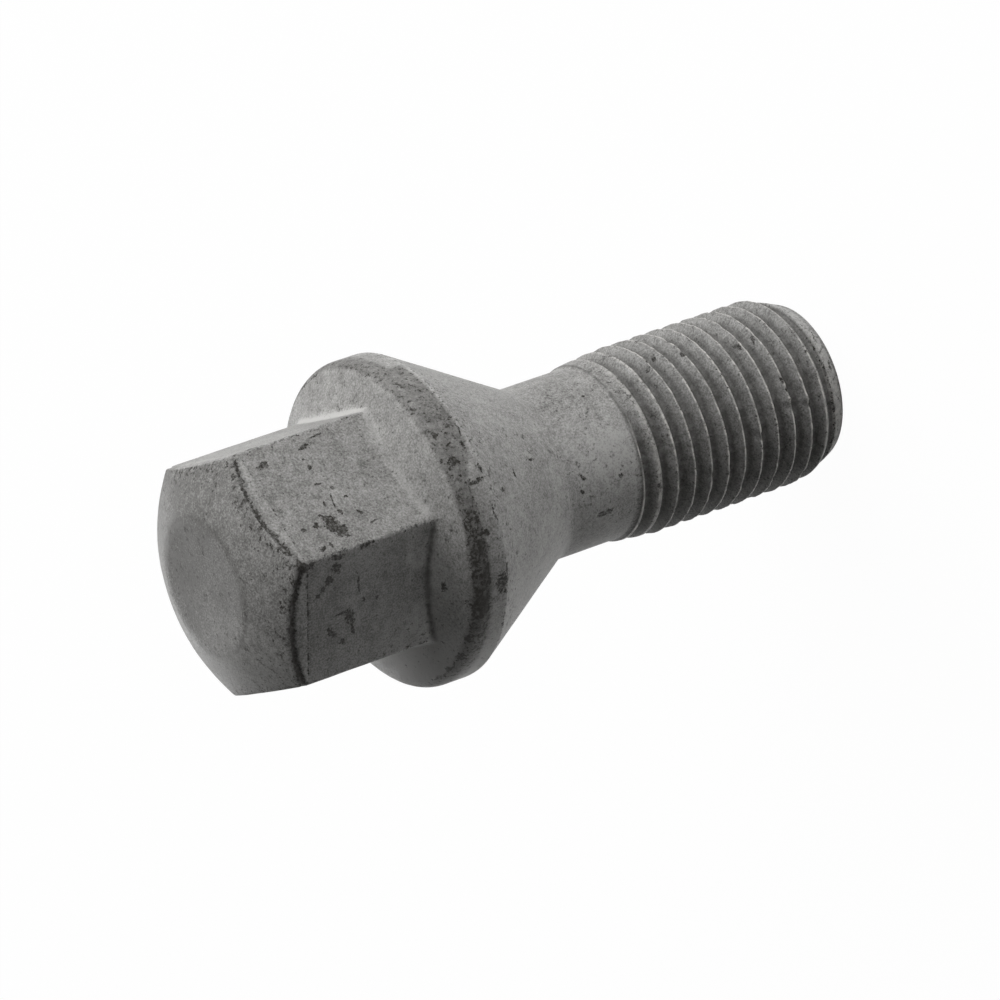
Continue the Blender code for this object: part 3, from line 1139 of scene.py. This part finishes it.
# Turn in degrees, height, half width and half height in millimetres, and tilt in degrees
MARKS = (
    # Lower flat: a slanting chain, a ragged patch, smears and dots
    (-77, 47.9, 0.12, 0.2, 0),
    (-74, 47.35, 0.2, 0.3, 40),
    (-71.3, 46.95, 0.35, 0.3, 30),
    (-66.3, 46.25, 0.4, 0.28, 60),
    (-99, 46.75, 0.5, 0.2, 40),
    (-105.6, 45.8, 0.22, 0.2, 0),
    (-90.2, 46.0, 0.09, 0.6, 12),
    (-93.5, 45.2, 0.6, 0.32, 10),
    (-100, 44.95, 0.5, 0.14, 0),
    (-77.5, 44.4, 0.7, 0.08, 10),
    (-87, 44.0, 0.14, 0.14, 0),
    (-88.5, 42.85, 0.14, 0.16, 0),
    (-61, 48.6, 0.3, 0.55, 0),
    (-61.5, 46.2, 0.16, 0.6, 0),
    (-60.5, 43.5, 0.14, 0.7, 0),
    # Upper flat: one broad patch, and small ones round it
    (-48.5, 45.2, 0.75, 0.5, 25),
    (-44, 45.5, 0.5, 0.25, 40),
    (-51.5, 44.7, 0.5, 0.3, 20),
    (-45.5, 46.5, 0.16, 0.2, 0),
    (-46, 47.5, 0.16, 0.16, 0),
    (-56.5, 47.0, 0.16, 0.2, 0),
    (-56, 46.3, 0.16, 0.14, 0),
    (-42.5, 44.2, 0.2, 0.16, 0),
    (-36.5, 44.2, 0.5, 0.07, -15),
    (-36.5, 44.9, 0.18, 0.12, 0),
    (-36.5, 43.1, 0.14, 0.14, 0),
    (-30, 43.7, 0.12, 0.12, 0),
    (-25.7, 44.45, 0.07, 0.35, 0),
    (-46.3, 42.8, 0.2, 0.12, 30),
    (-52.3, 42.3, 0.08, 0.3, 10),
    (-6.5, 43.9, 0.14, 0.5, 10),
    (-3, 42.6, 0.07, 0.6, 0),
    (-8.7, 47.6, 0.16, 0.4, 10),
    (-16, 44.4, 0.12, 0.14, 0),
    (-11.5, 44.5, 0.1, 0.16, 0),
    # Broken crease at the dome's edge on the upper flat
    (-52, 49.72, 0.5, 0.1, 12),
    (-33.5, 50.02, 0.5, 0.09, 0),
    (-21, 50.25, 0.2, 0.3, 0),
    # Rim
    (-93.5, 36.4, 0.6, 0.6, 0),
    (-82, 36.15, 0.35, 0.3, 0),
    (-109, 37.1, 0.3, 0.13, 0),
    (-119, 37.1, 0.5, 0.09, 0),
    (-128, 37.15, 0.7, 0.07, 0),
    (-138, 37.15, 0.6, 0.07, 0),
    (-73, 36.2, 0.4, 0.3, 0),
    (-69, 35.6, 0.2, 0.3, 0),
    (-88, 34.8, 0.5, 0.45, 0),
    (-83.5, 34.3, 0.4, 0.12, 0),
    (-52, 35.2, 0.1, 0.55, 0),
    (-42.5, 36.2, 0.25, 0.3, 0),
    (-32.5, 36.6, 0.25, 0.16, 0),
    (-39, 35.0, 0.2, 0.14, 0),
    (-64, 34.6, 0.4, 0.09, 0),
    (-48, 34.5, 0.3, 0.09, 0),
    (-33, 34.7, 0.3, 0.1, 0),
    (-90, 38.0, 0.3, 0.08, 0),
    # Cone and shank
    (-57, 33.0, 0.14, 0.25, 0),
    (-54, 30.9, 0.25, 0.1, 0),
    (-37, 28.1, 0.18, 0.22, 0),
    (-49, 28.5, 0.12, 0.4, 0),
    (-75.5, 20.3, 0.3, 0.14, 0),
    (-77, 23.7, 0.25, 0.1, 20),
    (-69, 23.4, 0.4, 0.14, 30),
    (-98, 21.8, 0.3, 0.6, 10),
    (-17, 20.5, 0.2, 0.12, 40),
    # Thread
    (-20.5, 5.7, 0.5, 0.11, 0),
    (-20.5, 7.2, 0.45, 0.11, 0),
    (-15, 14.7, 0.25, 0.15, 0),
    (-13.9, 11.5, 0.25, 0.12, 0),
    (-5.6, 13.3, 0.3, 0.12, 0),
    (-71.5, 3.4, 0.25, 0.25, 0),
    (-52, 5.35, 0.3, 0.12, 0),
    (-58, 5.3, 0.2, 0.1, 0),
    (-65, 5.2, 0.3, 0.15, 0),
    (-68.5, 6.6, 0.25, 0.15, 0),
    (-72, 6.5, 0.2, 0.1, 0),
)


# Noise in the coating: scale per millimetre, detail and roughness
CLOUD = (0.35, 3, 0.5)
MOTTLE = (1.6, 6, 0.65)
GRAIN = (7.0, 3, 0.7)
BROKEN = (2.2, 4, 0.6)
CLUSTER = (0.3, 2, 0.5)
SPECKS = (2.6, 5, 0.65)
COARSE = (2.0, 5, 0.7)
FINE = (4.5, 4, 0.7)
MARKS_NOISE = (1.4, 3, 0.5)
# How much cloud, mottle and grain change the tone, and how much coarse and fine noise tear an edge
CLOUD_SHARE = 0.5
MOTTLE_SHARE = 1.1
GRAIN_SHARE = 2.0
COARSE_SHARE = 3.0
FINE_SHARE = 2.4
# Noise swings about this value
NOISE_MIDDLE = 0.5
# Height of the fine bumps
BUMP_HEIGHT = 0.05 * MM
BUMP_STRENGTH = 0.6


def coating(finish):
    """Matt zinc flake coating: mottled grey with painted light and shade in its tone, dark where it is
    rubbed, grime and painted shade in the hollows, and bright crests with painted highlights.
    """
    material = bpy.data.materials.new("zinc_flake_coating")
    material.use_nodes = True
    nodes = ShaderNodes(material.node_tree)
    shader = material.node_tree.nodes["Principled BSDF"]
    place = nodes.millimetres()
    mottle = nodes.noise(place, *MOTTLE)
    grain = nodes.noise(place, *GRAIN)
    cloud = nodes.noise(place, *CLOUD)
    uneven = nodes.weighted((cloud, CLOUD_SHARE), (mottle, MOTTLE_SHARE), (grain, GRAIN_SHARE))
    middle = NOISE_MIDDLE * (CLOUD_SHARE + MOTTLE_SHARE + GRAIN_SHARE)
    # The tone attribute carries painted light and shade as well as the coating's own tone
    tone = nodes.math("ADD", nodes.attribute("tone"), nodes.math("SUBTRACT", uneven, middle))
    grey = nodes.mix(tone, rgba(finish.dark_grey), rgba(finish.light_grey))

    # Grime and painted shade in the hollows
    grime_and_shade = nodes.math("MULTIPLY", nodes.attribute("grime_and_shade"), nodes.ramp(mottle, 0.25, 0.7, 1.0, 0.65))
    broken = nodes.ramp(nodes.noise(place, *BROKEN), 0.42, 0.58, 0.3, 1.0)
    # Rubbed bright crests, with painted highlights on them, on the shoulder's edge and on the tip
    crest = nodes.math("MULTIPLY", nodes.attribute("crest"), broken)
    grey_with_grime_and_shade = nodes.mix(grime_and_shade, grey, rgba(finish.grime_and_shade))
    bright_wear_and_highlight = nodes.mix(crest, grey_with_grime_and_shade, rgba(finish.bright))

    coarse = nodes.math("SUBTRACT", nodes.noise(place, *COARSE), NOISE_MIDDLE)
    fine = nodes.math("SUBTRACT", nodes.noise(place, *FINE), NOISE_MIDDLE)
    ragged = nodes.weighted((coarse, COARSE_SHARE), (fine, FINE_SHARE))
    scuffed = nodes.ramp(nodes.math("ADD", nodes.attribute("scuffed"), ragged), 0.4, 0.95)
    distance = nodes.marks(nodes.jagged(nodes.unrolled(place), place), MARKS)
    marked = nodes.ramp(nodes.math("SUBTRACT", distance, ragged), 0.8, 1.3, 1.0, 0.0)
    patchy = nodes.ramp(fine, -0.15, 0.1, 0.5, 1.0)
    worn = nodes.math("MULTIPLY", nodes.math("MAXIMUM", scuffed, marked), patchy)
    cluster = nodes.ramp(nodes.noise(place, *CLUSTER), 0.38, 0.58)
    specks = nodes.ramp(nodes.noise(place, *SPECKS), 0.57, 0.68, 0.0, 0.7)
    dark = nodes.math("MAXIMUM", nodes.math("MULTIPLY", specks, cluster), worn)

    nodes.join(nodes.mix(dark, bright_wear_and_highlight, rgba(finish.scuff)), shader.inputs["Base Color"])
    nodes.join(finish.shine, shader.inputs["Specular IOR Level"])
    roughness = nodes.ramp(mottle, 0.3, 0.7, finish.roughness - 0.06, finish.roughness + 0.08)
    nodes.join(roughness, shader.inputs["Roughness"])
    height = nodes.weighted((mottle, 0.7), (grain, 0.3))
    bumps = {"Height": height, "Distance": BUMP_HEIGHT, "Strength": BUMP_STRENGTH}
    nodes.join(nodes.add("Bump", bumps, "Normal"), shader.inputs["Normal"])
    return material


class WHEELBOLT_OT_bolt(bpy.types.Operator):
    """Builds the bolt and gives it its coating"""

    bl_idname = "wheelbolt.bolt"
    bl_label = "Bolt"

    def execute(self, context):
        mesh = build_bolt(context.scene.wheel_bolt_sizes)
        bolt = add_object("coated_bolt", mesh)
        mesh.materials.append(coating(context.scene.wheel_bolt_finish))
        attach(bolt, BODY)
        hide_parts(CAD_NODE)
        return {"FINISHED"}


class WheelBoltStage(bpy.types.PropertyGroup):
    """Camera, lamps and floor"""

    camera_location: bpy.props.FloatVectorProperty(
        name="Camera",
        description="Place of the camera",
        default=(0.256275, -0.369739, 0.289742),
        subtype="TRANSLATION",
        unit="LENGTH",
    )
    camera_azimuth: angle_setting(
        "Azimuth", "Angle of the view round the bolt; 0 looks along +Y", math.radians(34.86)
    )
    camera_elevation: angle_setting(
        "Elevation", "Angle by which the camera looks down", math.radians(30.3)
    )
    camera_roll: angle_setting(
        "Roll", "Turn of the camera about its own line of sight", math.radians(-109.22)
    )
    focal_length: bpy.props.FloatProperty(
        name="Focal length",
        description="Lens of the camera, in millimetres on a sensor 36 mm wide",
        default=262.85,
        unit="CAMERA",
    )
    floor_size: length_setting("Floor", "Width of the floor", 6.0)
    floor_white: share_setting(
        "Floor white",
        "Share of the floor that shows as plain white; the rest shows the shadow",
        0.975,
    )
    surround: bpy.props.FloatProperty(
        name="Surround",
        description="Strength of the light that comes from all round",
        default=0.03,
    )
    low_lamp: power_setting("Low lamp", "Power of the soft lamp low at the side", 1.85)
    high_lamp: power_setting("High lamp", "Power of the soft lamp above", 1.8)
    back_lamp: power_setting("Back lamp", "Power of the soft lamp behind the bolt", 0.7)


def add_camera(stage):
    data = bpy.data.cameras.new("camera")
    camera = add_object("camera", data)
    camera.location = stage.camera_location
    level = Euler((math.pi / 2 - stage.camera_elevation, 0, stage.camera_azimuth)).to_matrix()
    camera.rotation_euler = (level @ Matrix.Rotation(stage.camera_roll, 3, "Z")).to_euler()
    data.lens = stage.focal_length
    bpy.context.scene.camera = camera


def add_floor(stage):
    bm = bmesh.new()
    bmesh.ops.create_grid(bm, x_segments=1, y_segments=1, size=stage.floor_size / 2)
    bmesh.ops.translate(bm, verts=bm.verts, vec=(0, 0, -FLOOR_GAP))
    mesh = mesh_from(bm, "floor")
    floor = add_object("floor", mesh)
    material = bpy.data.materials.new("pale_floor")
    material.use_nodes = True
    nodes = ShaderNodes(material.node_tree)
    paint = material.node_tree.nodes["Principled BSDF"]
    paint.inputs["Base Color"].default_value = FLOOR_PAINT
    paint.inputs["Roughness"].default_value = FLOOR_ROUGHNESS
    glow = nodes.add("Emission", {}, "Emission")
    nodes.show_white(paint.outputs["BSDF"], glow, stage.floor_white, "Material Output")
    mesh.materials.append(material)


def add_world(stage):
    world = bpy.data.worlds.new("surround")
    world.use_nodes = True
    nodes = ShaderNodes(world.node_tree)
    dim = world.node_tree.nodes["Background"]
    dim.inputs["Color"].default_value = WHITE
    dim.inputs["Strength"].default_value = stage.surround
    white = nodes.add("Background", {"Color": WHITE}, "Background")
    nodes.show_white(dim.outputs["Background"], white, 1, "World Output")
    bpy.context.scene.world = world


def add_lamp(name, azimuth, elevation, size, watts):
    """A round soft lamp that looks at the middle of the bolt; the angles are in degrees."""
    data = bpy.data.lights.new(name, "AREA")
    data.shape = "DISK"
    data.size = size
    data.energy = watts
    lamp = add_object(name, data)
    along = math.cos(math.radians(elevation))
    direction = Vector((
        math.cos(math.radians(azimuth)) * along,
        math.sin(math.radians(azimuth)) * along,
        math.sin(math.radians(elevation)),
    ))
    lamp.location = Vector((0, 0, CAD_HIGH.z / 2)) + direction * LAMP_DISTANCE
    lamp.rotation_euler = direction.to_track_quat("Z", "Y").to_euler()


class WHEELBOLT_OT_stage(bpy.types.Operator):
    """Sets up the camera, the lamps, the world and the floor"""

    bl_idname = "wheelbolt.stage"
    bl_label = "Stage"

    def execute(self, context):
        stage = context.scene.wheel_bolt_stage
        add_camera(stage)
        add_floor(stage)
        add_world(stage)
        add_lamp("low", 7, 16, 0.35, stage.low_lamp)
        add_lamp("high", 50, 50, 0.4, stage.high_lamp)
        add_lamp("back", 125, 8, 0.3, stage.back_lamp)
        context.scene.view_settings.view_transform = "Standard"
        return {"FINISHED"}


class WHEELBOLT_PT_sidebar(bpy.types.Panel):
    """Lists the bolt's tools"""

    bl_label = "Wheel Bolt"
    bl_idname = "WHEELBOLT_PT_sidebar"
    bl_space_type = "VIEW_3D"
    bl_region_type = "UI"
    bl_category = "Wheel Bolt"

    def draw(self, context):
        scene = context.scene
        for group in (scene.wheel_bolt_sizes, scene.wheel_bolt_finish, scene.wheel_bolt_stage):
            box = self.layout.box()
            for name in group.__annotations__:
                box.prop(group, name)
        self.layout.operator(WHEELBOLT_OT_bolt.bl_idname)
        self.layout.operator(WHEELBOLT_OT_stage.bl_idname)


CLASSES = (
    WheelBoltSizes,
    WheelBoltFinish,
    WheelBoltStage,
    WHEELBOLT_OT_bolt,
    WHEELBOLT_OT_stage,
    WHEELBOLT_PT_sidebar,
)


def register():
    for item in CLASSES:
        bpy.utils.register_class(item)
    bpy.types.Scene.wheel_bolt_sizes = bpy.props.PointerProperty(type=WheelBoltSizes)
    bpy.types.Scene.wheel_bolt_finish = bpy.props.PointerProperty(type=WheelBoltFinish)
    bpy.types.Scene.wheel_bolt_stage = bpy.props.PointerProperty(type=WheelBoltStage)


def unregister():
    del bpy.types.Scene.wheel_bolt_stage
    del bpy.types.Scene.wheel_bolt_finish
    del bpy.types.Scene.wheel_bolt_sizes
    for item in reversed(CLASSES):
        bpy.utils.unregister_class(item)


def main():
    register()
    bpy.ops.wheelbolt.bolt()
    bpy.ops.wheelbolt.stage()


if __name__ == "__main__":
    main()
